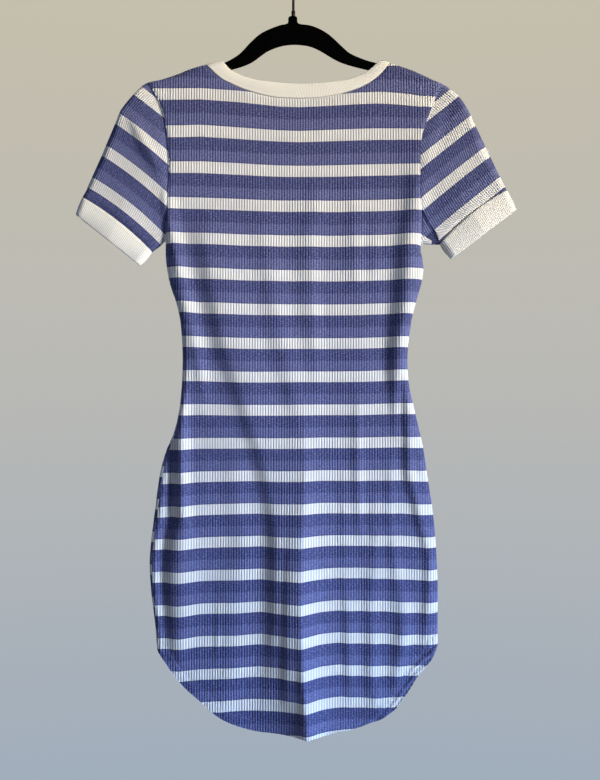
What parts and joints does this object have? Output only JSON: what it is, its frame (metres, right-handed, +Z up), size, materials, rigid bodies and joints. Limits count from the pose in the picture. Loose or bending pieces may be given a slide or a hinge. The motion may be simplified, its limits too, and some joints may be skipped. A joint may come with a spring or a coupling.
{
  "type": "t-shirt dress on a hanger",
  "caption": "Short-sleeved rib-knit T-shirt dress with a shirt-tail hem and rib bands at neck and cuffs, hung on a flat flocked hanger with a wire hook.",
  "frame": {"origin": "inner top of the hanger's hook, where a rail carries it", "axes": "+Z up, -Y towards the viewer of the back of the dress, +Y the front of the dress, +X the wearer's right"},
  "size_m": [0.5841, 0.0578, 1.0195],
  "materials": {
    "rib_knit": "vertical rib knit, level stripes of off-white and two heather blues",
    "rib_trim": "fine cream rib",
    "flock": "black velvet flock",
    "black_wire": "satin black"
  },
  "bodies": {
    "root": {"back_panel": "rib_knit", "front_panel": "rib_knit", "sleeve_left": "rib_knit", "sleeve_right": "rib_knit", "cuff_left": "rib_trim", "cuff_right": "rib_trim", "neckband": "rib_trim", "hanger_body": "flock", "hanger_hook": "black_wire"}
  },
  "joints": []
}
